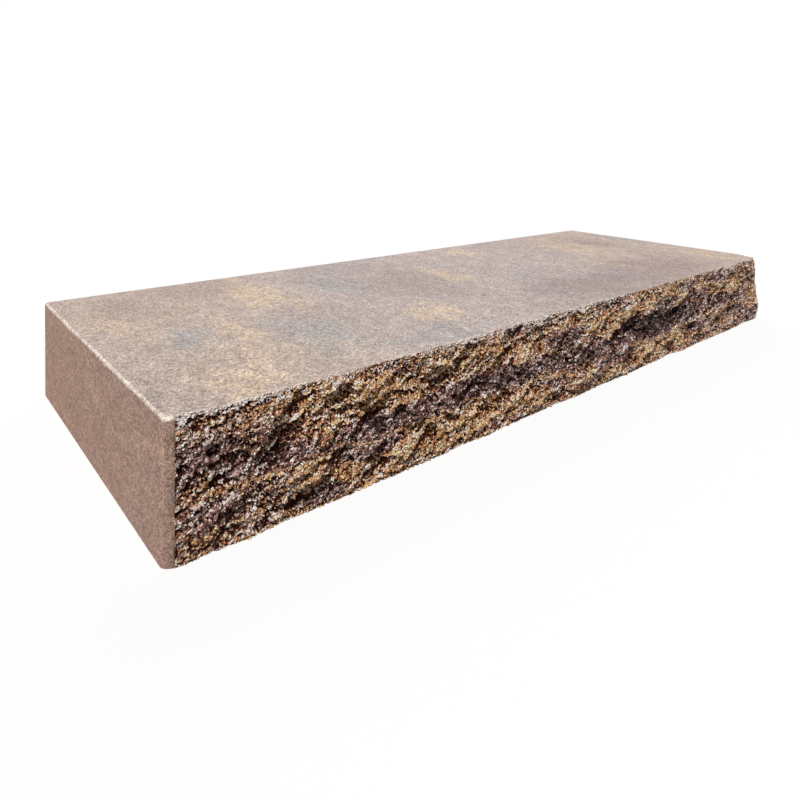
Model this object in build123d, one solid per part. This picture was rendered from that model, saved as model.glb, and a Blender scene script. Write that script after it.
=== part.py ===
from build123d import *

import os
from math import cos, exp, pi, radians, sin

# Concrete step block: one dry-cast unit, moulded smooth on its tread, back and ends.
# It is cast deeper than it is sold, and the front is then broken off along a line between two notches.
# That leaves a rough split riser, which stands a little proud of the two rounded front corners.
# Millimetres, +Z up, +X along the step, the split riser faces -Y.
# The origin is the centre of the underside, midway between the back face and the split line.

# Overall sizes
LENGTH = 1219.0
DEPTH = 457.0
HEIGHT = 127.0

# Moulded edges
FRONT_CORNER_RADIUS = 9.0
BACK_CORNER_RADIUS = 6.0
TREAD_EDGE_RADIUS = 3.5

# Stock in front of the split line, which the break takes off, and the flat of the notches between the two
SPLIT_STOCK = 60.0
NOTCH_FLAT = 2.0

# How far the broken riser stands in front of the split line: at its corners, and more between them
CORNER_STEP = 1.5
CROWN = 2.5
CROWN_RUN = 40.0
OVERHANG = 3.0

# The long hollow that runs along the riser between its upper and lower shoulders, with phases in turns
HOLLOW_LEVEL = 75.0
HOLLOW_BREADTH = 18.0
HOLLOW_DEPTH = 6.0
HOLLOW_WANDER = 7.0
WANDER_LENGTH = 900.0
WANDER_PHASE = 0.52
SWELL_LENGTH = 440.0
SWELL_PHASE = 0.78

# Scallops of the break: length along the step, height over which they bend, reach, and phase in turns
SCALLOPS = [
    (390.0, 260.0, 1.7, 0.05),
    (167.0, 150.0, 1.7, 0.42),
    (101.0, 110.0, 1.4, 0.77),
    (72.0, 90.0, 1.0, 0.21),
]
SCALLOP_BEND = 0.3

# Ledges of the break: distance between them, slope of their crests in degrees, reach, and phase in turns
LEDGES = [
    (58.0, 22.0, 1.4, 0.13),
    (47.0, 35.0, 1.3, 0.61),
    (66.0, 5.0, 1.4, 0.86),
    (52.0, -30.0, 1.1, 0.37),
    (43.0, 55.0, 1.0, 0.05),
    (61.0, 80.0, 1.2, 0.49),
]

# The splitting blades bite along straight lines above and below, and hold the break close to them
BLADE_SLACK = 0.25
BLADE_RUN = 16.0

# At the right end the break runs out past the notch, low on the riser
RUNOUT_REACH = 9.3
RUNOUT_RUN = 30.0
RUNOUT_LEVEL = 26.0
RUNOUT_BREADTH = 30.0

# Stations at which the break is worked out, and how far its surface reaches past the casting
BREAK_PITCH = 8.0
BREAK_MARGIN = 24.0


def wave(distance, length, phase):
    """A sine wave of the given length, at a distance along it, with its phase in turns."""
    return sin(2 * pi * (distance / length + phase))


def casting():
    """The smooth cast slab, with its rounded upright corners and tread edges, before it is split."""
    end, back, split_line = LENGTH / 2, DEPTH / 2, -DEPTH / 2
    shoulder = end - FRONT_CORNER_RADIUS
    back_arc = (end - BACK_CORNER_RADIUS, back), (end, back - BACK_CORNER_RADIUS)
    front_arc = (end, split_line + FRONT_CORNER_RADIUS), (shoulder, split_line)
    stock_arc = (shoulder, split_line - NOTCH_FLAT), (end, split_line - NOTCH_FLAT - FRONT_CORNER_RADIUS)
    stock_corner = (end, split_line - SPLIT_STOCK)
    with BuildPart() as slab:
        with BuildSketch():
            with BuildLine():
                Line((0, back), back_arc[0])
                RadiusArc(*back_arc, BACK_CORNER_RADIUS)
                Line(back_arc[1], front_arc[0])
                RadiusArc(*front_arc, FRONT_CORNER_RADIUS)
                Line(front_arc[1], stock_arc[0])
                RadiusArc(*stock_arc, FRONT_CORNER_RADIUS)
                Line(stock_arc[1], stock_corner)
                Line(stock_corner, (0, split_line - SPLIT_STOCK))
                mirror(about=Plane.YZ)
            make_face()
        extrude(amount=HEIGHT)
        tread_edges = slab.edges().filter_by_position(Axis.Z, HEIGHT, HEIGHT)
        fillet(tread_edges.filter_by(lambda edge: edge.center().Y > split_line), TREAD_EDGE_RADIUS)
    return slab.part


def hollow(x, z):
    """How deep the long hollow is, at x along the step and z up it. It wanders and comes and goes."""
    level = HOLLOW_LEVEL + HOLLOW_WANDER * wave(x, WANDER_LENGTH, WANDER_PHASE)
    strength = 0.65 + 0.35 * wave(x, SWELL_LENGTH, SWELL_PHASE)
    return HOLLOW_DEPTH * strength * exp(-(((z - level) / HOLLOW_BREADTH) ** 2))


def ledges(x, z):
    """How far the sloping ledges of the break stand out, at x along the step and z up it."""
    return sum(
        reach * wave(z * cos(radians(slope)) - x * sin(radians(slope)), length, phase)
        for length, slope, reach, phase in LEDGES
    )


def scallops(x, z):
    """How far the scallops of the break stand out, at x along the step and z up it."""
    return sum(
        reach * wave(x, length, phase + SCALLOP_BEND * wave(z, height, phase))
        for length, height, reach, phase in SCALLOPS
    )


def runout(x, z):
    """How much further out the break runs at the right end, at x along the step and z up it."""
    from_end = max(LENGTH / 2 - x, 0.0)
    return RUNOUT_REACH * exp(-from_end / RUNOUT_RUN - ((z - RUNOUT_LEVEL) / RUNOUT_BREADTH) ** 2)


def break_reach(x, z):
    """How far the broken riser stands in front of the split line, at x along the step and z up it."""
    from_corner = max(LENGTH / 2 - FRONT_CORNER_RADIUS - abs(x), 0.0)
    from_blade = max(min(z, HEIGHT - z), 0.0)
    grown = 1.0 - exp(-from_corner / CROWN_RUN)
    freed = 1.0 - (1.0 - BLADE_SLACK) * exp(-from_blade / BLADE_RUN)
    lean = OVERHANG * z / HEIGHT
    swells = freed * (scallops(x, z) + ledges(x, z)) - hollow(x, z)
    return CORNER_STEP + runout(x, z) + grown * (CROWN + lean + swells)


def stations(low, high):
    """Evenly spaced stations from low to high, about one pitch apart."""
    steps = round((high - low) / BREAK_PITCH)
    return [low + (high - low) * i / steps for i in range(steps + 1)]


def break_surface():
    """The wavy surface along which the casting breaks, reaching a margin past it all round."""
    half = LENGTH / 2 + BREAK_MARGIN
    return Face.make_surface_from_array_of_points(
        [
            [(x, -DEPTH / 2 - break_reach(x, z), z) for x in stations(-half, half)]
            for z in stations(-BREAK_MARGIN, HEIGHT + BREAK_MARGIN)
        ]
    )


def step_block():
    """The part of the casting that is left behind the break."""
    halves = split(casting(), bisect_by=break_surface(), keep=Keep.BOTH)
    return max(halves.solids(), key=lambda piece: piece.volume)


os.makedirs("parts", exist_ok=True)
export_step(step_block(), "parts/step_block.step")
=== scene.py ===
import math

import bmesh
import bpy
import numpy as np
from mathutils import Matrix, Vector, geometry, noise
from mathutils.bvhtree import BVHTree


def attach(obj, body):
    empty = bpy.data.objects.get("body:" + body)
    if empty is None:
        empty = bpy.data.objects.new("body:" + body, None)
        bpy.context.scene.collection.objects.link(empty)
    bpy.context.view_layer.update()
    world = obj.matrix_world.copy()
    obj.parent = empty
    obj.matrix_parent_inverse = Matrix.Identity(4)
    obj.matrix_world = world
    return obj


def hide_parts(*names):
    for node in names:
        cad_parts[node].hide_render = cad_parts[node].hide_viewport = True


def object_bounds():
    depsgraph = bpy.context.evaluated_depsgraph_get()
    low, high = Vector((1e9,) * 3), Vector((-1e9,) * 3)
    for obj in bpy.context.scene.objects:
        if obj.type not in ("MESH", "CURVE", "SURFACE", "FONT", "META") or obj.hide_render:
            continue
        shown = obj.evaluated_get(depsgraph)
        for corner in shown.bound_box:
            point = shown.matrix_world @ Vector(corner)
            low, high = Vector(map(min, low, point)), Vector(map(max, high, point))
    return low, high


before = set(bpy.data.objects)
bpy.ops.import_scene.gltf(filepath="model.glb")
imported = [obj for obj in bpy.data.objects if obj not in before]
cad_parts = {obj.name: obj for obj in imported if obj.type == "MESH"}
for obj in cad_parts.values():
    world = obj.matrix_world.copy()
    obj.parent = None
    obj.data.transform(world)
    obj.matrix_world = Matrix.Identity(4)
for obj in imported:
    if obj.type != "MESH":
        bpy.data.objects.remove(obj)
cad_low, cad_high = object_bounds()

# The split riser: the front of the casting, broken off along a line between two notches.
# The break runs through sand and stone chips, so the face is all slabs, flakes, crumbs and small ledges.
# Its broad swells come from the CAD surface, and the broken relief is laid over them.
HALF_LENGTH = cad_high.x
HEIGHT = cad_high.z
BACK = cad_high.y
SPLIT_LINE = -cad_high.y
FRONT_CORNER = 0.009
NOTCH_FLAT = 0.002
CORNER_X = HALF_LENGTH - FRONT_CORNER

# The riser's grid: its pitch, how far its points stray from it in pitches, and the seed of what is random
RISER_PITCH = 0.00130
GRID_JITTER = 0.3
SEED = 41

# Where a probe for the CAD surface starts, and how far from the riser's edges it stays
PROBE_START = -1.0
PROBE_INSET = 0.0005

# The grain of the break: how many times longer than high, and how steeply it rises to the right
GRAIN_STRETCH = 1.7
GRAIN_RISE = math.radians(25.0)

# Broken forms: height of one, how far it stands out, and the layer of noise it is taken from
SLAB_SIZE, SLAB_REACH, SLAB_LAYER = 0.024, 0.0078, 61.4
FLAKE_SIZE, FLAKE_REACH, FLAKE_LAYER = 0.0090, 0.0031, 14.2
CRAG_SIZE, CRAG_REACH, CRAG_LAYER = 0.0105, 0.0020, 0.5
CRUMB_SIZE, CRUMB_REACH, CRUMB_LAYER = 0.0038, 0.0019, 8.3
GRIT_REACH = 0.00120

# Steps of their noise: how fast the finer ones die down, how much finer each is, and how many
CRAG_STEPS = (0.45, 2.1, 4)
BEND_STEPS = (0.8, 2.0, 3)

# Slabs: how far their edges bend, and their strength and its spread, each with its rate along the break
SLAB_BEND, BEND_RATE = 0.9, 0.7
SLAB_STRENGTH, STRENGTH_SPREAD, STRENGTH_RATE = 0.6, 0.6, 0.6
STRENGTH_LAYER = 31.0

# Crumbs: how much they differ in height, the height of their crowns, and how those fall away
CRUMB_STEP, CRUMB_CROWN, CRUMB_FALL = 0.6, 0.55, 1.1
CRUMB_SCATTER = 91.7

# Clods that stand out: middle along the step and up it, half length, half height, and reach
CLODS = [
    (-0.200, 0.078, 0.045, 0.014, 0.0078),
    (-0.115, 0.080, 0.030, 0.012, 0.0040),
    (-0.020, 0.029, 0.030, 0.012, 0.0044),
    (0.085, 0.053, 0.035, 0.014, 0.0056),
    (0.060, 0.004, 0.050, 0.012, 0.0040),
    (0.330, 0.006, 0.030, 0.012, 0.0024),
    (0.220, 0.081, 0.035, 0.012, 0.0034),
]

# Forms are told from crumbs by an average over a few pitches. The blades hold the forms close to straight
# lines above and below, the crumbs are calmed along the tread edge, and both are at the front corners
EVEN_REACH = 2
BLADE_SLACK, BLADE_RUN = 0.15, 0.010
EDGE_KEPT, EDGE_CALM = 0.25, 0.0045
CORNER_KEPT, CORNER_CALM = 0.35, 0.010

# The relief sits a little back, stands proud of the front corners, and stays inside the CAD's box
RELIEF_SETBACK = 0.0006
CORNER_PROUD = 0.0004
BOX_MARGIN = 0.0001

# The break follows the notch outwards at the right end, and what stands out sags over what is below
FLARE_RUN = 0.012
UNDERCUT, UNDERCUT_RUN = 0.35, HEIGHT / 12

# Painted shade in the crevices and painted light on what stands out: how far round a point its surroundings
# are averaged, in pitches, and the depth that counts as 1
RELIEF_SHADING_DEPTHS = [(1, 0.0008), (3, 0.0016), (10, 0.0036), (24, 0.0070)]

cad_skin = BVHTree.FromObject(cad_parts["step_block"], bpy.context.evaluated_depsgraph_get())
rng = np.random.default_rng(SEED)


def broad_break(x, z):
    """Where the CAD's break surface is, at x along the step and z up it."""
    inside_x = min(max(x, PROBE_INSET - CORNER_X), CORNER_X - PROBE_INSET)
    inside_z = min(max(z, PROBE_INSET), HEIGHT - PROBE_INSET)
    return cad_skin.ray_cast(Vector((inside_x, PROBE_START, inside_z)), Vector((0.0, 1.0, 0.0)))[0].y


def along_break(x, z, size, layer):
    """A place in the grain of the break, which runs along the step and rises a little to the right."""
    along = x * math.cos(GRAIN_RISE) + z * math.sin(GRAIN_RISE)
    across = z * math.cos(GRAIN_RISE) - x * math.sin(GRAIN_RISE)
    return Vector((along / (size * GRAIN_STRETCH), across / size, layer))


def crumb(x, z, size, layer):
    """How far the crumb at a point stands out, from its own height and its rounded crown."""
    distances, middles = noise.voronoi(along_break(x, z, size, layer))
    return CRUMB_STEP * noise.cell(middles[0] * CRUMB_SCATTER) + CRUMB_CROWN - CRUMB_FALL * distances[0]


def crag(x, z, size, layer):
    """How far the craggy break stands out at a point."""
    return noise.fractal(along_break(x, z, size, layer), *CRAG_STEPS)


def slab(x, z, size, layer):
    """How far the slab at a point stands out. Each one falls back upwards and overhangs the next below."""
    place = along_break(x, z, size, layer)
    turn = place.y + SLAB_BEND * noise.fractal(place * BEND_RATE, *BEND_STEPS)
    other = place * STRENGTH_RATE + Vector((0.0, 0.0, STRENGTH_LAYER))
    strength = SLAB_STRENGTH + STRENGTH_SPREAD * noise.noise(other)
    return strength * (0.5 - (turn - math.floor(turn)))


def smoothed(field, reach):
    """A field on the riser's grid, averaged over a square of the given reach in pitches."""
    breadth = 2 * reach + 1
    padded = np.pad(field, reach, mode="edge")
    total = sum(padded[i:i + field.shape[0], :] for i in range(breadth))
    total = sum(total[:, j:j + field.shape[1]] for j in range(breadth))
    return total / breadth ** 2


columns = round(2 * CORNER_X / RISER_PITCH)
rows = round(HEIGHT / RISER_PITCH)
riser_x, riser_z = np.meshgrid(
    np.linspace(-CORNER_X, CORNER_X, columns + 1), np.linspace(0.0, HEIGHT, rows + 1), indexing="ij"
)
riser_x[1:-1, :] += rng.uniform(-GRID_JITTER, GRID_JITTER, riser_x[1:-1, :].shape) * RISER_PITCH
riser_z[:, 1:-1] += rng.uniform(-GRID_JITTER, GRID_JITTER, riser_z[:, 1:-1].shape) * RISER_PITCH
grid_points = list(zip(riser_x.ravel().tolist(), riser_z.ravel().tolist()))
broad = np.array([broad_break(x, z) for x, z in grid_points]).reshape(riser_x.shape)
relief = np.array([
    SLAB_REACH * slab(x, z, SLAB_SIZE, SLAB_LAYER)
    + FLAKE_REACH * slab(x, z, FLAKE_SIZE, FLAKE_LAYER)
    + CRAG_REACH * crag(x, z, CRAG_SIZE, CRAG_LAYER)
    + CRUMB_REACH * crumb(x, z, CRUMB_SIZE, CRUMB_LAYER)
    for x, z in grid_points
]).reshape(riser_x.shape)
relief += rng.uniform(-GRIT_REACH, GRIT_REACH, relief.shape)
for middle_x, middle_z, half_length, half_height, reach in CLODS:
    from_middle = ((riser_x - middle_x) / half_length) ** 2 + ((riser_z - middle_z) / half_height) ** 2
    relief += reach * np.exp(-from_middle)

even = smoothed(relief, EVEN_REACH)
crumbs = (relief - even) * np.clip((HEIGHT - riser_z) / EDGE_CALM, EDGE_KEPT, 1.0)
from_blade = np.minimum(riser_z, HEIGHT - riser_z)
freed = BLADE_SLACK + (1.0 - BLADE_SLACK) * np.clip(from_blade / BLADE_RUN, 0.0, 1.0)
calm = np.clip((CORNER_X - np.abs(riser_x)) / CORNER_CALM, 0.0, 1.0)
relief = (even * freed + crumbs) * (CORNER_KEPT + (1.0 - CORNER_KEPT) * calm)
riser_y = np.maximum(broad + RELIEF_SETBACK * calm - relief, cad_low.y + BOX_MARGIN)
riser_y[[0, -1], :] = np.minimum(riser_y[[0, -1], :], SPLIT_LINE - CORNER_PROUD)
past_notch = np.clip(SPLIT_LINE - NOTCH_FLAT - riser_y[-1], 0.0, FRONT_CORNER)
flare = FRONT_CORNER - np.sqrt(FRONT_CORNER ** 2 - past_notch ** 2)
riser_x += flare * np.clip((riser_x - CORNER_X) / FLARE_RUN + 1.0, 0.0, 1.0)
sag = UNDERCUT * relief * np.minimum(1.0, from_blade / UNDERCUT_RUN)
riser_z[:, 1:-1] -= sag[:, 1:-1]
# How far each point lies below or above its surroundings, for painted shade in crevices and painted light on
# what stands out
proud = -riser_y
relief_shading = sum((smoothed(proud, reach) - proud) / depth for reach, depth in RELIEF_SHADING_DEPTHS)

# The front edge of the tread, where the upper splitting blade bites into the concrete.
# The edge is brittle, so chips are knocked out of it, and the bruised sand shows pale along it.
# Chips: their length, their depth and how far they spread past half of the edge, the steps and the layer of
# their noise, and the share of a pitch that the row below them keeps
CHIP_LENGTH, CHIP_DEPTH, CHIP_EXCESS = 0.011, 0.0034, 0.15
CHIP_STEPS = (0.7, 2.0, 3)
CHIP_LAYER = (0.3, 5.1)
ROW_KEPT = 0.3

# Bruising: its length, its mean, spread and least along the edge, how much more of it there is at the ends
# of the block, and how fast it fades below the edge and away from the ends
BRUISE_LENGTH = 0.07
BRUISE_LAYER = (0.0, 12.4)
BRUISE_MEAN, BRUISE_SPREAD, BRUISE_LEAST = 0.62, 0.75, 0.1
EDGE_END_BRUISE, RISER_END_BRUISE = 0.30, 0.38
EDGE_FADE, END_FADE = 0.0065, 0.05

edge_x = riser_x[:, -1]
chip = np.array([
    max(0.0, noise.fractal(Vector((x / CHIP_LENGTH, *CHIP_LAYER)), *CHIP_STEPS) + CHIP_EXCESS) for x in edge_x
]) * CHIP_DEPTH
riser_z[:, -1] -= chip
riser_z[:, -2] = np.minimum(riser_z[:, -2], riser_z[:, -1] - ROW_KEPT * RISER_PITCH)
bruise = BRUISE_MEAN + BRUISE_SPREAD * np.array([
    noise.noise(Vector((x / BRUISE_LENGTH, *BRUISE_LAYER))) for x in edge_x
])
bruise = np.clip(bruise + EDGE_END_BRUISE * np.abs(edge_x) / HALF_LENGTH, BRUISE_LEAST, 1.0)
bruised = bruise[:, None] * np.exp((riser_z - HEIGHT) / EDGE_FADE)
bruised += RISER_END_BRUISE * np.exp((np.abs(riser_x) - HALF_LENGTH) / END_FADE)

# The moulded sides: both ends and the back, which the steel mould leaves smooth, with rounded upright
# corners and a small round along the tread edge. The rounds are worn a little by handling.
BACK_CORNER = 0.006
TREAD_ROUND = 0.0035
ROUND_STEPS = 7
CORNER_STEPS = 9
SIDE_PITCH = 0.007
SIDE_LEVELS = [0.0, 0.33, 0.66, 1.0]
WEAR, WEAR_LENGTH, WEAR_LAYER = 0.35, 0.018, 2.2
WEAR_STEPS = (0.6, 2.0, 3)


def corner(x, y, radius, start):
    """Stations round an upright corner, a quarter turn clockwise from the start angle in degrees."""
    turns = [math.radians(start - 90.0 * i / CORNER_STEPS) for i in range(CORNER_STEPS + 1)]
    return [(x + radius * math.cos(t), y + radius * math.sin(t), math.cos(t), math.sin(t)) for t in turns]


def straight(first, last):
    """Stations between two corner ends along a straight side, without its ends."""
    steps = round(math.dist(first[:2], last[:2]) / SIDE_PITCH)
    run_x, run_y = last[0] - first[0], last[1] - first[1]
    return [
        (first[0] + run_x * i / steps, first[1] + run_y * i / steps, first[2], first[3])
        for i in range(1, steps)
    ]


inner_x = HALF_LENGTH - BACK_CORNER
left_front = corner(-CORNER_X, SPLIT_LINE + FRONT_CORNER, FRONT_CORNER, 270.0)
left_back = corner(-inner_x, BACK - BACK_CORNER, BACK_CORNER, 180.0)
right_back = corner(inner_x, BACK - BACK_CORNER, BACK_CORNER, 90.0)
right_front = corner(CORNER_X, SPLIT_LINE + FRONT_CORNER, FRONT_CORNER, 0.0)
left_end = left_front + straight(left_front[-1], left_back[0]) + left_back
back_run = straight(left_back[-1], right_back[0])
right_end = right_back + straight(right_back[-1], right_front[0]) + right_front
side_stations = left_end + back_run + right_end

# Along each round its middle is marked for the rubbed edge, which is partly a painted highlight
side_points, side_arris = [], []
for x, y, out_x, out_y in side_stations:
    wear = noise.fractal(Vector((x / WEAR_LENGTH, y / WEAR_LENGTH, WEAR_LAYER)), *WEAR_STEPS)
    radius = TREAD_ROUND * (1.0 + WEAR * wear)
    profile = [(0.0, share * (HEIGHT - radius), 0.0) for share in SIDE_LEVELS]
    for i in range(1, ROUND_STEPS + 1):
        turn = math.pi / 2 * i / ROUND_STEPS
        inset = radius * (1 - math.cos(turn))
        profile.append((inset, HEIGHT - radius + radius * math.sin(turn), math.sin(2 * turn)))
    side_points.append([(x - out_x * inset, y - out_y * inset, z) for inset, z, _ in profile])
    side_arris.append([arris for _, _, arris in profile])
side_points = np.array(side_points)
side_arris = np.array(side_arris)

# The block: one solid casting, whose skin is stitched here from the riser, the sides, the tread and the
# underside into one closed mesh. Its upper right front corner has been knocked and rubbed round.
KNOCK_SIZE, KNOCK_FALL = 0.040, 1.5
KNOCK = (-0.0025, 0.0075, -0.0030)

# The lip behind the front edge: setbacks of its rows with their share of the chips, the breadth that is
# broken, and the columns of the riser it leaves out at the ends, steps over and looks at to either side
LIP_ROWS = [(0.0014, 0.6), (0.0034, 0.2), (0.0060, 0.0)]
LIP_BREADTH = 0.0022
LIP_ENDS, LIP_STRIDE, LIP_LOOK = 4, 2, 3

# How the flat faces are cut into triangles: all of the hull, with points closer than this made one
WHOLE_HULL, SAME_POINT = 0, 1e-7
BROKEN = {"riser", "lip", "left flank", "right flank"}

points = np.concatenate([
    np.stack([riser_x, riser_y, riser_z], axis=-1).reshape(-1, 3), side_points.reshape(-1, 3)
])
from_knock = np.linalg.norm(points - [HALF_LENGTH, SPLIT_LINE, HEIGHT], axis=1)
points += np.clip(1.0 - from_knock / KNOCK_SIZE, 0.0, 1.0)[:, None] ** KNOCK_FALL * KNOCK
points = points.tolist()
riser = np.arange(riser_x.size).reshape(riser_x.shape)
sides = riser.size + np.arange(side_arris.size).reshape(side_arris.shape)
faces, areas = [], []


def quads(grid, area):
    """The faces of a grid of vertices."""
    a, b, c, d = grid[:-1, :-1], grid[1:, :-1], grid[1:, 1:], grid[:-1, 1:]
    found = np.stack([a, b, c, d], axis=-1).reshape(-1, 4).tolist()
    faces.extend(found)
    areas.extend([area] * len(found))


def stitch(first, second, area):
    """Triangles between two rising rows of vertices."""
    i = j = 0
    while i < len(first) - 1 or j < len(second) - 1:
        on_first = j == len(second) - 1 or (
            i < len(first) - 1 and points[first[i + 1]][2] <= points[second[j + 1]][2]
        )
        if on_first:
            faces.append([first[i], first[i + 1], second[j]])
            i += 1
        else:
            faces.append([first[i], second[j + 1], second[j]])
            j += 1
        areas.append(area)


def fill(rim, inside, area):
    """A flat face of the block within a rim of vertices, passing through the vertices inside it."""
    members = rim + inside
    flat = [Vector(points[v][:2]) for v in members]
    rim_edges = [(i, (i + 1) % len(rim)) for i in range(len(rim))]
    cut = geometry.delaunay_2d_cdt(flat, rim_edges, [], WHOLE_HULL, SAME_POINT, True)
    front_x, front_y = np.array([points[v][:2] for v in rim[:columns + 1]]).T
    for triangle in cut[2]:
        ends = [members[cut[3][v][0]] for v in triangle]
        x, y, _ = np.mean([points[v] for v in ends], axis=0)
        set_back = y - np.interp(x, front_x, front_y)
        if set_back > 0.0:
            faces.append(ends)
            areas.append("lip" if area == "tread" and set_back < LIP_BREADTH else area)


lip = []
lip_columns = np.arange(LIP_ENDS, columns + 1 - LIP_ENDS, LIP_STRIDE)
edge_y = riser_y[:, -1]
behind = np.max([np.roll(edge_y, step) for step in range(-LIP_LOOK, LIP_LOOK + 1)], axis=0)
for setback, share in LIP_ROWS:
    for i in lip_columns:
        lip.append(len(points))
        points.append([edge_x[i], behind[i] + setback, HEIGHT - share * chip[i]])

quads(riser, "riser")
quads(sides, "sides")
stitch(riser[0].tolist(), sides[0].tolist(), "left flank")
stitch(riser[-1].tolist(), sides[-1].tolist(), "right flank")
fill(riser[:, -1].tolist() + sides[::-1, -1].tolist(), lip, "tread")
fill(riser[:, 0].tolist() + sides[::-1, 0].tolist(), [], "underside")

mesh = bpy.data.meshes.new("step_block_skin")
mesh.from_pydata(points, [], faces)
skin = bmesh.new()
skin.from_mesh(mesh)
bmesh.ops.recalc_face_normals(skin, faces=skin.faces)
skin.to_mesh(mesh)
skin.free()
mesh.polygons.foreach_set("material_index", [1 if area in BROKEN else 0 for area in areas])
piece = bpy.data.objects.new("step_block_dressed", mesh)
bpy.context.scene.collection.objects.link(piece)
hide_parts("step_block")
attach(piece, "root")


def keep_field(name, parts):
    """Stores a value for each vertex of the skin, from the parts it was worked out on, and 0 elsewhere."""
    values = np.zeros(len(mesh.vertices), np.float32)
    for vertices, field in parts:
        values[vertices.ravel()] = field.ravel()
    mesh.attributes.new(name, "FLOAT", "POINT").data.foreach_set("value", values)


first_lip_row = np.array(lip[:len(lip_columns)])
# Painted shade for the riser's crevices and painted light for what stands out
keep_field("relief_shading", [(riser, relief_shading)])
# The pale edges: rubbed rounds, partly a painted highlight, and bruised sand along the riser's top
keep_field("arris", [(sides, side_arris), (riser, bruised), (first_lip_row, bruised[lip_columns, -1])])

# Charcoal mix: dark batches that are fed into the mould between the tan ones and pressed flat with them.
# The split cuts through them, so they show as long dark streaks with soft ends on the riser. The streaks are
# also partly painted shade, in the hollow and under the ledges, where the riser lies in shadow.
# Streaks: middle along the step and up it, half length, half height, and share of charcoal and painted shade
CHARCOAL_AND_SHADE_STREAKS = [
    (-0.560, 0.086, 0.090, 0.027, 0.58),
    (-0.590, 0.086, 0.024, 0.018, 0.85),
    (-0.520, 0.066, 0.060, 0.012, 0.90),
    (-0.560, 0.036, 0.055, 0.016, 0.66),
    (-0.457, 0.012, 0.030, 0.008, 1.00),
    (-0.375, 0.062, 0.075, 0.011, 0.95),
    (-0.396, 0.038, 0.035, 0.009, 0.80),
    (-0.205, 0.063, 0.115, 0.013, 1.30),
    (-0.075, 0.092, 0.040, 0.011, 0.85),
    (-0.030, 0.056, 0.075, 0.014, 1.00),
    (-0.085, 0.034, 0.035, 0.008, 0.55),
    (0.060, 0.116, 0.060, 0.007, 0.55),
    (0.085, 0.060, 0.050, 0.011, 0.90),
    (0.060, 0.038, 0.060, 0.010, 1.00),
    (0.180, 0.066, 0.085, 0.020, 1.80),
    (0.215, 0.092, 0.045, 0.010, 0.75),
    (0.265, 0.065, 0.080, 0.014, 1.80),
    (0.335, 0.038, 0.045, 0.010, 1.15),
    (0.335, 0.090, 0.035, 0.010, 0.95),
    (0.290, 0.114, 0.045, 0.008, 0.75),
    (0.420, 0.114, 0.065, 0.009, 0.75),
    (0.405, 0.067, 0.060, 0.012, 1.20),
    (0.457, 0.038, 0.040, 0.010, 0.70),
    (0.510, 0.064, 0.060, 0.012, 0.75),
    (0.525, 0.036, 0.035, 0.010, 0.75),
    (0.555, 0.098, 0.050, 0.030, 0.50),
    (0.580, 0.014, 0.030, 0.014, 0.80),
    (0.100, 0.008, 0.750, 0.013, 0.28),
    (0.000, 0.120, 0.800, 0.010, 0.22),
    (-0.150, 0.118, 0.075, 0.008, 0.55),
    (-0.500, 0.014, 0.060, 0.010, 0.50),
]
STREAK_FALL, STREAK_EDGE = 0.7, 1.5
# The streaks on the riser: charcoal, and in part painted shade
charcoal_and_shadow = np.zeros_like(riser_x)
for middle_x, middle_z, half_length, half_height, share in CHARCOAL_AND_SHADE_STREAKS:
    from_middle = ((riser_x - middle_x) / half_length) ** 2 + ((riser_z - middle_z) / half_height) ** 2
    charcoal_and_shadow = np.maximum(charcoal_and_shadow, share * np.exp(-STREAK_FALL * from_middle ** STREAK_EDGE))
keep_field("charcoal_and_shade", [(riser, charcoal_and_shadow)])

# The skin laid flat on one square sheet for its baked colours: two rows of riser at a larger scale with the
# flanks beside the first, then the tread, then the back, and last the two ends beside a small underside.
SHEET = 1.34
GAP = 0.008
RISER_SCALE, UNDER_SCALE = 2.0, 0.25
LEFT_FLANK_AT, RIGHT_FLANK_AT = 1.250, 1.300
RIGHT_END_AT, UNDERSIDE_AT = 0.48, 0.96
row_height = RISER_SCALE * (HEIGHT + GAP)
tread_base = 2 * row_height + GAP
back_base = tread_base + (cad_high.y - cad_low.y) + GAP
end_base = back_base + HEIGHT + 3 * GAP

corners = np.zeros(len(mesh.loops), np.int32)
mesh.loops.foreach_get("vertex_index", corners)
sizes = np.zeros(len(mesh.polygons), np.int32)
mesh.polygons.foreach_get("loop_total", sizes)
face_of = np.repeat(np.arange(len(sizes)), sizes)
spot = np.array(points)[corners]
area_of = np.array(areas)[face_of]
sheet = np.zeros((len(corners), 2))


def face_mean(values):
    """The mean over each face of a value at its corners, given back at each corner."""
    total = np.zeros(len(sizes))
    np.add.at(total, face_of, values)
    return (total / sizes)[face_of]


on_riser = area_of == "riser"
right_half = on_riser & (face_mean(spot[:, 0]) > 0)
left_half = on_riser & ~right_half
sheet[left_half] = (spot[left_half][:, [0, 2]] + [HALF_LENGTH, 0.0]) * RISER_SCALE
sheet[right_half] = spot[right_half][:, [0, 2]] * RISER_SCALE + [0.0, row_height]
for area, offset_x in [("left flank", LEFT_FLANK_AT), ("right flank", RIGHT_FLANK_AT)]:
    part = area_of == area
    sheet[part] = (spot[part][:, [1, 2]] - [SPLIT_LINE, 0.0]) * RISER_SCALE + [offset_x, 0.0]
on_tread = (area_of == "tread") | (area_of == "lip")
sheet[on_tread] = spot[on_tread][:, :2] + [HALF_LENGTH, tread_base - cad_low.y]
under = area_of == "underside"
under_corner = [HALF_LENGTH, -cad_low.y]
sheet[under] = (spot[under][:, :2] + under_corner) * UNDER_SCALE + [UNDERSIDE_AT, end_base]

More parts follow.
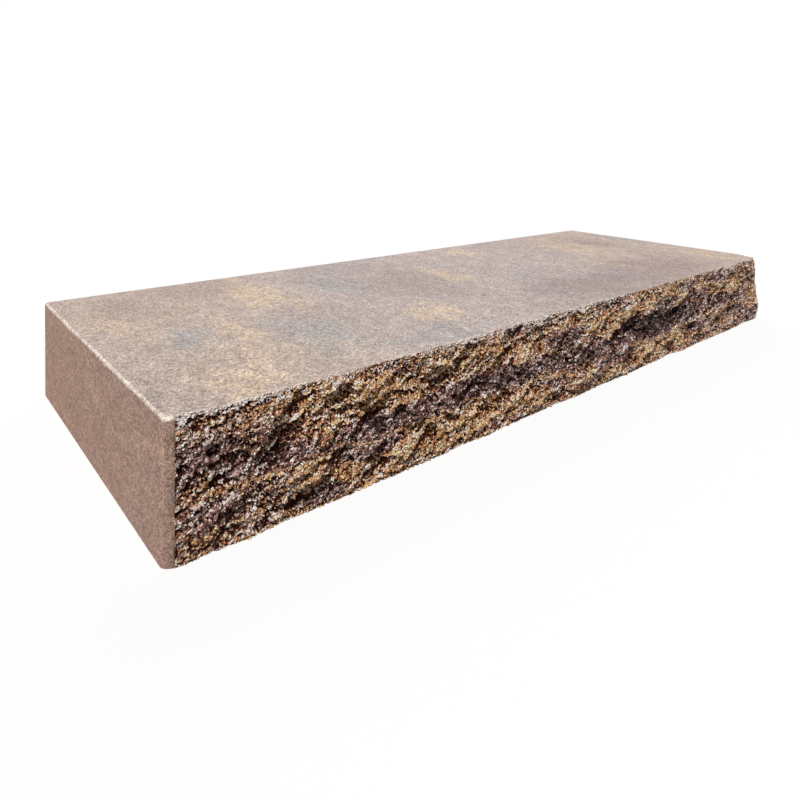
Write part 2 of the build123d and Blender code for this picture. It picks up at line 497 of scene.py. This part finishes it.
run = np.zeros(len(points))
rise = np.zeros(len(points))
strides = np.linalg.norm(np.diff(np.array(side_stations)[:, :2], axis=0), axis=1)
run[sides] = np.concatenate([[0.0], np.cumsum(strides)])[:, None]
climbs = np.linalg.norm(np.diff(side_points, axis=1), axis=2)
rise[sides] = np.concatenate([np.zeros((len(climbs), 1)), np.cumsum(climbs, axis=1)], axis=1)
left_stop = run[sides[len(left_end) - 1, 0]]
back_stop = run[sides[-len(right_end), 0]]
on_side = area_of == "sides"
side_run = face_mean(run[corners])
for start, stop, offset_x, base in [
    (0.0, left_stop, 0.0, end_base),
    (left_stop, back_stop, 0.0, back_base),
    (back_stop, math.inf, RIGHT_END_AT, end_base),
]:
    part = on_side & (side_run >= start) & (side_run < stop)
    sheet[part] = np.stack([run[corners[part]] - start + offset_x, rise[corners[part]] + base], axis=-1)
paint_map = mesh.uv_layers.new(name="OFBake")
paint_map.data.foreach_set("uv", ((sheet + GAP / 2) / SHEET).ravel())

# Pigment in the mix: gold and charcoal batches are dropped into the mould together and pressed flat.
# So the lumps are thin in height, longer along the step, and longest from front to back.
# Lumps per metre along the step, from front to back and up it, and for each batch its place in the noise
# and the span of the noise over which it sets in
LUMPS_PER_METRE = (7.5, 4.0, 26.0)
BATCHES = [
    ("Gold", (3.1, 0.0, 1.4), (0.46, 0.62)),
    ("Charcoal", (0.4, 7.7, 5.2), (0.50, 0.64)),
]


def add(tree, kind, inputs, **settings):
    """A shader node with its settings, and each input either set or linked."""
    made = tree.nodes.new(kind)
    for name, value in settings.items():
        setattr(made, name, value)
    for name, value in inputs.items():
        if isinstance(value, bpy.types.NodeSocket):
            tree.links.new(value, made.inputs[name])
        else:
            made.inputs[name].default_value = value
    return made


def effect(name, inputs, outputs):
    """An empty shader effect with named inputs and outputs."""
    tree = bpy.data.node_groups.new(name, "ShaderNodeTree")
    for label, kind in inputs:
        tree.interface.new_socket(label, in_out="INPUT", socket_type=kind)
    for label, kind in outputs:
        tree.interface.new_socket(label, in_out="OUTPUT", socket_type=kind)
    return tree, tree.nodes.new("NodeGroupInput"), tree.nodes.new("NodeGroupOutput")


def ramped(tree, value, span, out=(0.0, 1.0)):
    """A value eased from one span to another."""
    return add(
        tree,
        "ShaderNodeMapRange",
        {"Value": value, "From Min": span[0], "From Max": span[1], "To Min": out[0], "To Max": out[1]},
        interpolation_type="SMOOTHSTEP",
    ).outputs[0]


def cloud_noise(tree, place, rate, detail, roughness, **inputs):
    """A noise texture at a place, with its number of clouds per unit, its detail and its roughness."""
    settings = {"Vector": place, "Scale": rate, "Detail": detail, "Roughness": roughness, **inputs}
    return add(tree, "ShaderNodeTexNoise", settings).outputs


pigment, pigment_in, pigment_out = effect(
    "pigment_lumps",
    [("Position", "NodeSocketVector")],
    [(label, "NodeSocketFloat") for label, _, _ in BATCHES],
)
for label, offset, span in BATCHES:
    pressed = add(
        pigment,
        "ShaderNodeMapping",
        {"Vector": pigment_in.outputs["Position"], "Location": offset, "Scale": LUMPS_PER_METRE},
    ).outputs[0]
    batch = cloud_noise(pigment, pressed, 1.0, 6.0, 0.72, Distortion=0.4)[0]
    pigment.links.new(ramped(pigment, batch, span), pigment_out.inputs[label])

# Sand in the mix: crushed grains of many stones, bound by the cement.
# Each grain has its own shade and tint, and a rounded crown that stands more or less out of its bed.
GRAIN_STEP = 0.5


def maths(tree, operation, first, second=0.0):
    """One calculation with two values."""
    return add(tree, "ShaderNodeMath", {0: first, 1: second}, operation=operation).outputs[0]


sand, sand_in, sand_out = effect(
    "sand_grains",
    [("Position", "NodeSocketVector"), ("Grains per metre", "NodeSocketFloat")],
    [("Shade", "NodeSocketFloat"), ("Tint", "NodeSocketFloat"), ("Height", "NodeSocketFloat")],
)
grains = add(
    sand,
    "ShaderNodeTexVoronoi",
    {"Vector": sand_in.outputs["Position"], "Scale": sand_in.outputs["Grains per metre"], "Randomness": 1.0},
)
chance = add(sand, "ShaderNodeSeparateColor", {"Color": grains.outputs["Color"]}).outputs
crown = maths(sand, "SUBTRACT", 1.0, grains.outputs["Distance"])
bed = maths(sand, "MULTIPLY", chance[2], GRAIN_STEP)
sand.links.new(chance[0], sand_out.inputs["Shade"])
sand.links.new(chance[1], sand_out.inputs["Tint"])
sand.links.new(maths(sand, "ADD", crown, bed), sand_out.inputs["Height"])

# Moulded concrete: brown cement skin, smooth to the hand but open with fine sand.
# The tread, where the skin faces up, is paler and greyer, with clouds of gold, charcoal and mauve pigment,
# and the
# rounded edges are lighter: rubbed by handling, and in part a painted highlight along the middle of each
# round.
MOULDED_BROWN = (0.466, 0.304, 0.236, 1.0)
TREAD_GREY = (0.506, 0.424, 0.396, 1.0)
TREAD_WARM = (0.535, 0.424, 0.366, 1.0)
GOLD_FLECK = (0.73, 0.560, 0.395, 1.0)
CHARCOAL_CLOUD = (0.40, 0.375, 0.365, 1.0)
MAUVE_CLOUD = (0.37, 0.280, 0.262, 1.0)
RUBBED_AND_HIGHLIT = (0.84, 0.740, 0.650, 1.0)
MOULDED_ROUGHNESS, MOULDED_GLOSS = 0.9, 0.15
MOULDED_BUMP, MOULDED_BUMP_DEPTH = 0.2, 0.0003

# Clouds on the tread: middle along it and across it, half length, half depth, and strength
GOLD_PATCHES = [
    (-0.560, 0.060, 0.030, 0.160, 0.7),
    (-0.515, -0.180, 0.050, 0.060, 1.0),
    (-0.462, -0.045, 0.046, 0.090, 1.0),
    (-0.360, 0.090, 0.060, 0.140, 1.0),
    (-0.225, -0.130, 0.070, 0.070, 1.0),
    (-0.040, 0.040, 0.035, 0.110, 1.0),
    (0.130, 0.160, 0.060, 0.080, 1.0),
    (0.375, 0.060, 0.085, 0.140, 1.0),
    (0.545, -0.160, 0.040, 0.080, 1.0),
    (-0.480, -0.120, 0.150, 0.150, 0.55),
]
CHARCOAL_PATCHES = [
    (-0.515, -0.040, 0.030, 0.070, 1.0),
    (-0.385, -0.110, 0.060, 0.110, 1.0),
    (-0.290, -0.205, 0.110, 0.025, 1.0),
    (-0.245, 0.075, 0.040, 0.090, 1.0),
    (0.030, -0.150, 0.050, 0.040, 1.0),
    (0.190, -0.165, 0.060, 0.060, 1.0),
    (0.575, 0.090, 0.030, 0.100, 1.0),
]
MAUVE_PATCHES = [
    (-0.530, 0.130, 0.050, 0.100, 0.6),
    (-0.420, 0.170, 0.080, 0.070, 0.6),
    (-0.130, 0.030, 0.110, 0.150, 0.6),
    (0.120, -0.165, 0.200, 0.095, 1.0),
    (0.330, -0.160, 0.220, 0.105, 1.0),
    (0.480, 0.080, 0.050, 0.120, 1.0),
]
PATCH_EDGE = (0.2, 1.25)
DRIFT_X, DRIFT_Y = 0.16, 0.30
DRIFT_RATE, DRIFT_DETAIL, DRIFT_ROUGHNESS = 14.0, 8.0, 0.72
GOLD_LUMPS, CHARCOAL_LUMPS = 0.7, 0.3

# Grains per metre of the fine sand and of the flecks, how much they shade the skin, and how flecks take gold
FINE_SAND, FLECK_SAND = 850.0, 300.0
FINE_SHADE, FLECK_TINT = (0.64, 1.36), (0.86, 1.14)
FLECK_COVER, FLECK_CHANCE, FLECK_EDGE = 0.7, 0.6, (0.70, 1.10)

# Mottle: its stretch, clouds per metre, detail and roughness, and what it does to the skin
MOTTLE_STRETCH = (1.0, 0.5, 1.0)
MOTTLE_RATE, MOTTLE_DETAIL, MOTTLE_ROUGHNESS = 60.0, 6.0, 0.8
MOTTLE_SPAN, MOTTLE_DEPTH = (0.25, 0.75), (0.13, 0.20)
MOTTLE_OPENS, MOTTLE_COVER = (0.36, 0.62), (0.45, 1.0)
RUB_OPENS, RUB_COVER = (0.3, 0.6), (0.35, 0.95)

# Spans that turn one area into the next: sides into tread, front corners into ends with painted shade where
# they face the front, mid tread into its ends
WHOLE = (0.0, 1.0)
TREAD_TURN = (0.55, 0.95)
CORNER_SHADE_TURN, CORNER_PAINTED_SHADE = (-0.95, -0.15), (0.80, 1.0)
WARM_TURN = (0.20, 0.48)
GOLD_COVER, CLOUD_COVER = (0.35, 0.85), (0.45, 1.0)


def mixed(tree, factor, first, second, blend="MIX", clamp=False):
    """The colour between two colours, or of one laid over the other, which a clamp keeps from 0 to 1."""
    return add(
        tree,
        "ShaderNodeMix",
        {0: factor, 6: first, 7: second},
        data_type="RGBA",
        blend_type=blend,
        clamp_result=clamp,
    ).outputs[2]


def sand_at(tree, place, density):
    """The sand at a place, with so many grains per metre."""
    inputs = {"Position": place, "Grains per metre": density}
    return add(tree, "ShaderNodeGroup", inputs, node_tree=sand).outputs


def patches(tree, place, clouds):
    """How much of the tread soft clouds cover, with ragged edges."""
    drift = cloud_noise(tree, place, DRIFT_RATE, DRIFT_DETAIL, DRIFT_ROUGHNESS)["Color"]
    moved = add(
        tree,
        "ShaderNodeVectorMath",
        {0: drift, 1: (DRIFT_X, DRIFT_Y, 0.0), 2: place},
        operation="MULTIPLY_ADD",
    ).outputs[0]
    cover = 0.0
    for x, y, half_length, half_depth, share in clouds:
        middle = (-(x + DRIFT_X / 2) / half_length, -(y + DRIFT_Y / 2) / half_depth, 0.0)
        away = add(
            tree,
            "ShaderNodeVectorMath",
            {0: moved, 1: (1 / half_length, 1 / half_depth, 0.0), 2: middle},
            operation="MULTIPLY_ADD",
        ).outputs[0]
        length = add(tree, "ShaderNodeVectorMath", {0: away}, operation="LENGTH").outputs["Value"]
        cover = maths(tree, "MAXIMUM", cover, ramped(tree, length, PATCH_EDGE, (share, 0.0)))
    return cover


moulded = bpy.data.materials.new("moulded_concrete")
moulded.use_nodes = True
tree = moulded.node_tree
bsdf = tree.nodes["Principled BSDF"]
place = add(tree, "ShaderNodeTexCoord", {}).outputs["Object"]
normal = add(tree, "ShaderNodeNewGeometry", {}).outputs["Normal"]
facing = add(tree, "ShaderNodeSeparateXYZ", {"Vector": normal}).outputs
on_top = ramped(tree, facing[2], TREAD_TURN)
lumps = add(tree, "ShaderNodeGroup", {"Position": place}, node_tree=pigment).outputs
fine = sand_at(tree, place, FINE_SAND)
flecks = sand_at(tree, place, FLECK_SAND)
tread_x = add(tree, "ShaderNodeSeparateXYZ", {"Vector": place}).outputs[0]
from_middle = maths(tree, "ABSOLUTE", tread_x)
# Where the skin faces up, the tread is paler and greyer than the sides, and warmer towards its ends
tread_grey = mixed(tree, ramped(tree, from_middle, WARM_TURN), TREAD_GREY, TREAD_WARM)
skin_tone = mixed(tree, on_top, MOULDED_BROWN, tread_grey)
# Painted shade: the skin darkens where it turns to face the front, on the rounded front corners
skin_tone = mixed(tree, 1.0, skin_tone, ramped(tree, facing[1], CORNER_SHADE_TURN, CORNER_PAINTED_SHADE), "MULTIPLY")

mottle_place = add(tree, "ShaderNodeMapping", {"Vector": place, "Scale": MOTTLE_STRETCH}).outputs[0]
mottle = cloud_noise(tree, mottle_place, MOTTLE_RATE, MOTTLE_DETAIL, MOTTLE_ROUGHNESS)[0]
gold_lumps = maths(tree, "MULTIPLY", lumps["Gold"], GOLD_LUMPS)
gold = maths(tree, "MAXIMUM", patches(tree, place, GOLD_PATCHES), gold_lumps)
gold_share = maths(tree, "MULTIPLY", gold, FLECK_COVER)
fleck_share = maths(tree, "ADD", gold_share, maths(tree, "MULTIPLY", flecks["Shade"], FLECK_CHANCE))
gold_faces = ramped(tree, on_top, WHOLE, GOLD_COVER)
gold_cover = maths(tree, "MULTIPLY", ramped(tree, fleck_share, FLECK_EDGE), gold_faces)
clouded = mixed(tree, gold_cover, skin_tone, GOLD_FLECK)
cloud_faces = ramped(tree, on_top, WHOLE, CLOUD_COVER)
cloud_faces = maths(tree, "MULTIPLY", cloud_faces, ramped(tree, mottle, MOTTLE_OPENS, MOTTLE_COVER))
dark_lumps = maths(tree, "MULTIPLY", lumps["Charcoal"], CHARCOAL_LUMPS)
for clouds, colour in [(CHARCOAL_PATCHES, CHARCOAL_CLOUD), (MAUVE_PATCHES, MAUVE_CLOUD)]:
    cover = maths(tree, "MAXIMUM", patches(tree, place, clouds), dark_lumps)
    clouded = mixed(tree, maths(tree, "MULTIPLY", cover, cloud_faces), clouded, colour)
mottle_depth = ramped(tree, on_top, WHOLE, MOTTLE_DEPTH)
mottle_shade = (maths(tree, "SUBTRACT", 1.0, mottle_depth), maths(tree, "ADD", 1.0, mottle_depth))
mottled = mixed(tree, 1.0, clouded, ramped(tree, mottle, MOTTLE_SPAN, mottle_shade), "MULTIPLY")

# The rounded edges are rubbed lighter, and partly painted as a highlight along the middle of each round
arris = add(tree, "ShaderNodeAttribute", {}, attribute_name="arris").outputs["Fac"]
rub_and_highlight = maths(tree, "MULTIPLY", arris, ramped(tree, mottle, RUB_OPENS, RUB_COVER))
edge_lightened = mixed(tree, rub_and_highlight, mottled, RUBBED_AND_HIGHLIT)
fine_shade = ramped(tree, fine["Shade"], WHOLE, FINE_SHADE)
speckle = maths(tree, "MULTIPLY", fine_shade, ramped(tree, flecks["Tint"], WHOLE, FLECK_TINT))
speckled = mixed(tree, 1.0, edge_lightened, speckle, "MULTIPLY", clamp=True)
tree.links.new(speckled, bsdf.inputs["Base Color"])
bsdf.inputs["Roughness"].default_value = MOULDED_ROUGHNESS
bsdf.inputs["Specular IOR Level"].default_value = MOULDED_GLOSS
grain_bump = add(
    tree,
    "ShaderNodeBump",
    {"Height": fine["Height"], "Strength": MOULDED_BUMP, "Distance": MOULDED_BUMP_DEPTH},
)
tree.links.new(grain_bump.outputs[0], bsdf.inputs["Normal"])
mesh.materials.append(moulded)

# Split concrete: the raw inside of the mix, laid bare by the break and never rubbed or sealed.
# It is tan and charcoal sand with pale stone chips. Its crevices are darkened with painted shade, and what
# stands out is lightened with painted light.
# Colours of grains, each with the random value of the grains that have it
TAN_GRAINS = [
    (0.00, (0.35, 0.184, 0.086)),
    (0.30, (0.61, 0.336, 0.152)),
    (0.60, (0.77, 0.450, 0.205)),
    (0.86, (0.85, 0.568, 0.312)),
    (1.00, (0.90, 0.772, 0.640)),
]
CHARCOAL_GRAINS = [
    (0.00, (0.072, 0.038, 0.033)),
    (0.40, (0.178, 0.100, 0.085)),
    (0.75, (0.372, 0.236, 0.198)),
    (0.92, (0.600, 0.440, 0.365)),
    (1.00, (0.820, 0.730, 0.650)),
]
PALE_CHIP = (0.89, 0.805, 0.725, 1.0)
SPLIT_ROUGHNESS, SPLIT_GLOSS = 0.85, 0.12
SPLIT_BUMP, SPLIT_BUMP_DEPTH = 1.0, 0.0020

# Grains per metre of the sand, the chips and the dust, and what each adds to a grain's random value
COARSE_SAND, CHIP_SAND, DUST_SAND = 600.0, 210.0, 950.0
COARSE_SHARE, CHIP_SHARE, SHADE_SPAN = 0.75, 0.55, (0.26, 1.02)
DUST_SHADE = (0.38, 1.52)

# Charcoal: what lumps and single grains add to the streaks, where it takes over from tan, and where it
# deepens into painted shadow
LUMP_CHARCOAL, GRAIN_CHARCOAL = 0.45, 0.5
CHARCOAL_TURN = (0.48, 0.84)
PAINTED_SHADOW_TURN, PAINTED_SHADOW_SHADE = (0.95, 1.75), (1.0, 0.35)

# Pale chips of the bruised edges, the painted light on what stands out, and the painted shade in the crevices
BRUISE_CHANCE, BRUISE_TURN, BRUISE_COVER = 0.55, (0.45, 1.15), (0.0, 0.85)
PROUD_HIGHLIGHT, CREVICE_SHADE = (1.54, 1.38, 1.42, 1.0), (0.138, 0.047, 0.037, 1.0)
RELIEF_SHADING_TURN = (-1.2, 1.5)


def grain_colours(tree, value, stops):
    """The colour of a grain from its own random value."""
    ramp = add(tree, "ShaderNodeValToRGB", {"Fac": value})
    elements = ramp.color_ramp.elements
    while len(elements) < len(stops):
        elements.new(0.5)
    for element, (position, colour) in zip(elements, stops):
        element.position = position
        element.color = (*colour, 1.0)
    return ramp.outputs["Color"]


split = bpy.data.materials.new("split_concrete")
split.use_nodes = True
tree = split.node_tree
bsdf = tree.nodes["Principled BSDF"]
place = add(tree, "ShaderNodeTexCoord", {}).outputs["Object"]
grain_place = add(
    tree,
    "ShaderNodeMapping",
    {"Vector": place, "Rotation": (0.0, -GRAIN_RISE, 0.0), "Scale": (GRAIN_STRETCH, 1.0, 1.0)},
    vector_type="TEXTURE",
).outputs[0]
lumps = add(tree, "ShaderNodeGroup", {"Position": place}, node_tree=pigment).outputs
coarse = sand_at(tree, grain_place, COARSE_SAND)
chips = sand_at(tree, grain_place, CHIP_SAND)
dust = sand_at(tree, place, DUST_SAND)

coarse_share = maths(tree, "MULTIPLY", coarse["Shade"], COARSE_SHARE)
shade = maths(tree, "ADD", coarse_share, maths(tree, "MULTIPLY", chips["Shade"], CHIP_SHARE))
shade = ramped(tree, shade, SHADE_SPAN)
tan = grain_colours(tree, shade, TAN_GRAINS)
dark = grain_colours(tree, shade, CHARCOAL_GRAINS)
# The streaks: charcoal, and in part painted shade
streak_and_shadow = add(tree, "ShaderNodeAttribute", {}, attribute_name="charcoal_and_shade").outputs["Fac"]
darkness = maths(tree, "ADD", streak_and_shadow, maths(tree, "MULTIPLY", lumps["Charcoal"], LUMP_CHARCOAL))
darkness = maths(tree, "ADD", darkness, maths(tree, "MULTIPLY", coarse["Tint"], GRAIN_CHARCOAL))
# The darkest streaks are deepened with painted shadow
shadowed_dark = mixed(tree, 1.0, dark, ramped(tree, darkness, PAINTED_SHADOW_TURN, PAINTED_SHADOW_SHADE), "MULTIPLY")
blended = mixed(tree, ramped(tree, darkness, CHARCOAL_TURN), tan, shadowed_dark)

edge = add(tree, "ShaderNodeAttribute", {}, attribute_name="arris").outputs["Fac"]
edge_share = maths(tree, "ADD", edge, maths(tree, "MULTIPLY", chips["Tint"], BRUISE_CHANCE))
chipped = mixed(tree, ramped(tree, edge_share, BRUISE_TURN, BRUISE_COVER), blended, PALE_CHIP)
dusted = mixed(tree, 1.0, chipped, ramped(tree, dust["Shade"], WHOLE, DUST_SHADE), "MULTIPLY")
# Painted shade in the crevices and painted light on what stands out, laid over the grains' colours
depth = add(tree, "ShaderNodeAttribute", {}, attribute_name="relief_shading").outputs["Fac"]
tint = mixed(tree, ramped(tree, depth, RELIEF_SHADING_TURN), PROUD_HIGHLIGHT, CREVICE_SHADE)
shaded = mixed(tree, 1.0, dusted, tint, "MULTIPLY", clamp=True)
tree.links.new(shaded, bsdf.inputs["Base Color"])
bsdf.inputs["Roughness"].default_value = SPLIT_ROUGHNESS
bsdf.inputs["Specular IOR Level"].default_value = SPLIT_GLOSS
crumb_bump = add(
    tree,
    "ShaderNodeBump",
    {"Height": coarse["Height"], "Strength": SPLIT_BUMP, "Distance": SPLIT_BUMP_DEPTH},
)
tree.links.new(crumb_bump.outputs[0], bsdf.inputs["Normal"])
mesh.materials.append(split)

# The floor: a plain pale sheet under the block, which takes its shadow.
# It glows to the eye, so that it shows white, and scatters no more light than a light grey sheet does.
FLOOR_HALF = 30.0
FLOOR_PAPER = (0.40, 0.39, 0.38, 1.0)
FLOOR_SEEN = (0.26, 0.26, 0.26, 1.0)
FLOOR_GLOW = 0.74
WHITE = (1.0, 1.0, 1.0, 1.0)


def seen_by_eye(tree):
    """1 for a ray straight from the camera, by a reflection or through glass, and 0 for scattered light."""
    rays = add(tree, "ShaderNodeLightPath", {}).outputs
    direct = maths(tree, "MAXIMUM", rays["Is Camera Ray"], rays["Is Glossy Ray"])
    return maths(tree, "MAXIMUM", direct, rays["Is Transmission Ray"])


floor_mesh = bpy.data.meshes.new("floor")
floor_corners = [(-1, -1), (1, -1), (1, 1), (-1, 1)]
floor_mesh.from_pydata([(x * FLOOR_HALF, y * FLOOR_HALF, 0.0) for x, y in floor_corners], [], [(0, 1, 2, 3)])
floor = bpy.data.objects.new("floor", floor_mesh)
bpy.context.scene.collection.objects.link(floor)
pale = bpy.data.materials.new("pale_floor")
pale.use_nodes = True
tree = pale.node_tree
bsdf = tree.nodes["Principled BSDF"]
seen = seen_by_eye(tree)
tree.links.new(mixed(tree, seen, FLOOR_PAPER, FLOOR_SEEN), bsdf.inputs["Base Color"])
bsdf.inputs["Emission Color"].default_value = WHITE
tree.links.new(maths(tree, "MULTIPLY", seen, FLOOR_GLOW), bsdf.inputs["Emission Strength"])
bsdf.inputs["Roughness"].default_value = 1.0
bsdf.inputs["Specular IOR Level"].default_value = 0.0
floor_mesh.materials.append(pale)

# Studio light: a key lamp high on the left in front, and a broad soft fill behind on the right.
# An even surround lights the block a little from all sides, and the eye sees it as white.
SURROUND = 0.15
KEY_FROM, KEY_STRENGTH, KEY_SPREAD = (-0.46, -0.35, 0.816), 2.90, 2.0
FILL_FROM, FILL_STRENGTH, FILL_SPREAD = (0.60, 0.70, 0.39), 0.9, 60.0


def lamp(name, towards, strength, spread):
    """A far studio lamp in the given direction from the block, with its spread in degrees."""
    light = bpy.data.lights.new(name, "SUN")
    light.energy = strength
    light.angle = math.radians(spread)
    stand = bpy.data.objects.new(name, light)
    stand.rotation_mode = "QUATERNION"
    stand.rotation_quaternion = Vector(towards).to_track_quat("Z", "Y")
    bpy.context.scene.collection.objects.link(stand)


world = bpy.data.worlds.new("studio")
bpy.context.scene.world = world
world.use_nodes = True
tree = world.node_tree
backdrop = tree.nodes["Background"]
backdrop.inputs["Color"].default_value = WHITE
surround = add(tree, "ShaderNodeMapRange", {"Value": seen_by_eye(tree), "To Min": SURROUND, "To Max": 1.0})
tree.links.new(surround.outputs[0], backdrop.inputs["Strength"])
lamp("key", KEY_FROM, KEY_STRENGTH, KEY_SPREAD)
lamp("fill", FILL_FROM, FILL_STRENGTH, FILL_SPREAD)

# The camera, at the photograph's viewing angle: in front of the riser, off its left end and above the tread.
# It looks across the block to the right and slightly down, and its shifted lens frames the block.
LENS, SENSOR = 28.161, 36.0
LENS_SHIFT = (-0.01225, -0.2948)
STAND = (-0.7875, -0.7334, 0.3568)
YAW, PITCH, ROLL = 0.7131, 0.0386, 0.0178
ahead = Vector((math.sin(YAW) * math.cos(PITCH), math.cos(YAW) * math.cos(PITCH), -math.sin(PITCH)))
level = Vector((math.cos(YAW), -math.sin(YAW), 0.0))
upward = level.cross(ahead)
right = level * math.cos(ROLL) + upward * math.sin(ROLL)
above = upward * math.cos(ROLL) - level * math.sin(ROLL)
camera = bpy.data.cameras.new("camera")
camera.sensor_width = SENSOR
camera.lens = LENS
camera.shift_x, camera.shift_y = LENS_SHIFT
viewer = bpy.data.objects.new("camera", camera)
viewer.matrix_world = Matrix.Translation(STAND) @ Matrix((right, above, -ahead)).transposed().to_4x4()
bpy.context.scene.collection.objects.link(viewer)
bpy.context.scene.camera = viewer
bpy.context.scene.view_settings.view_transform = "Standard"
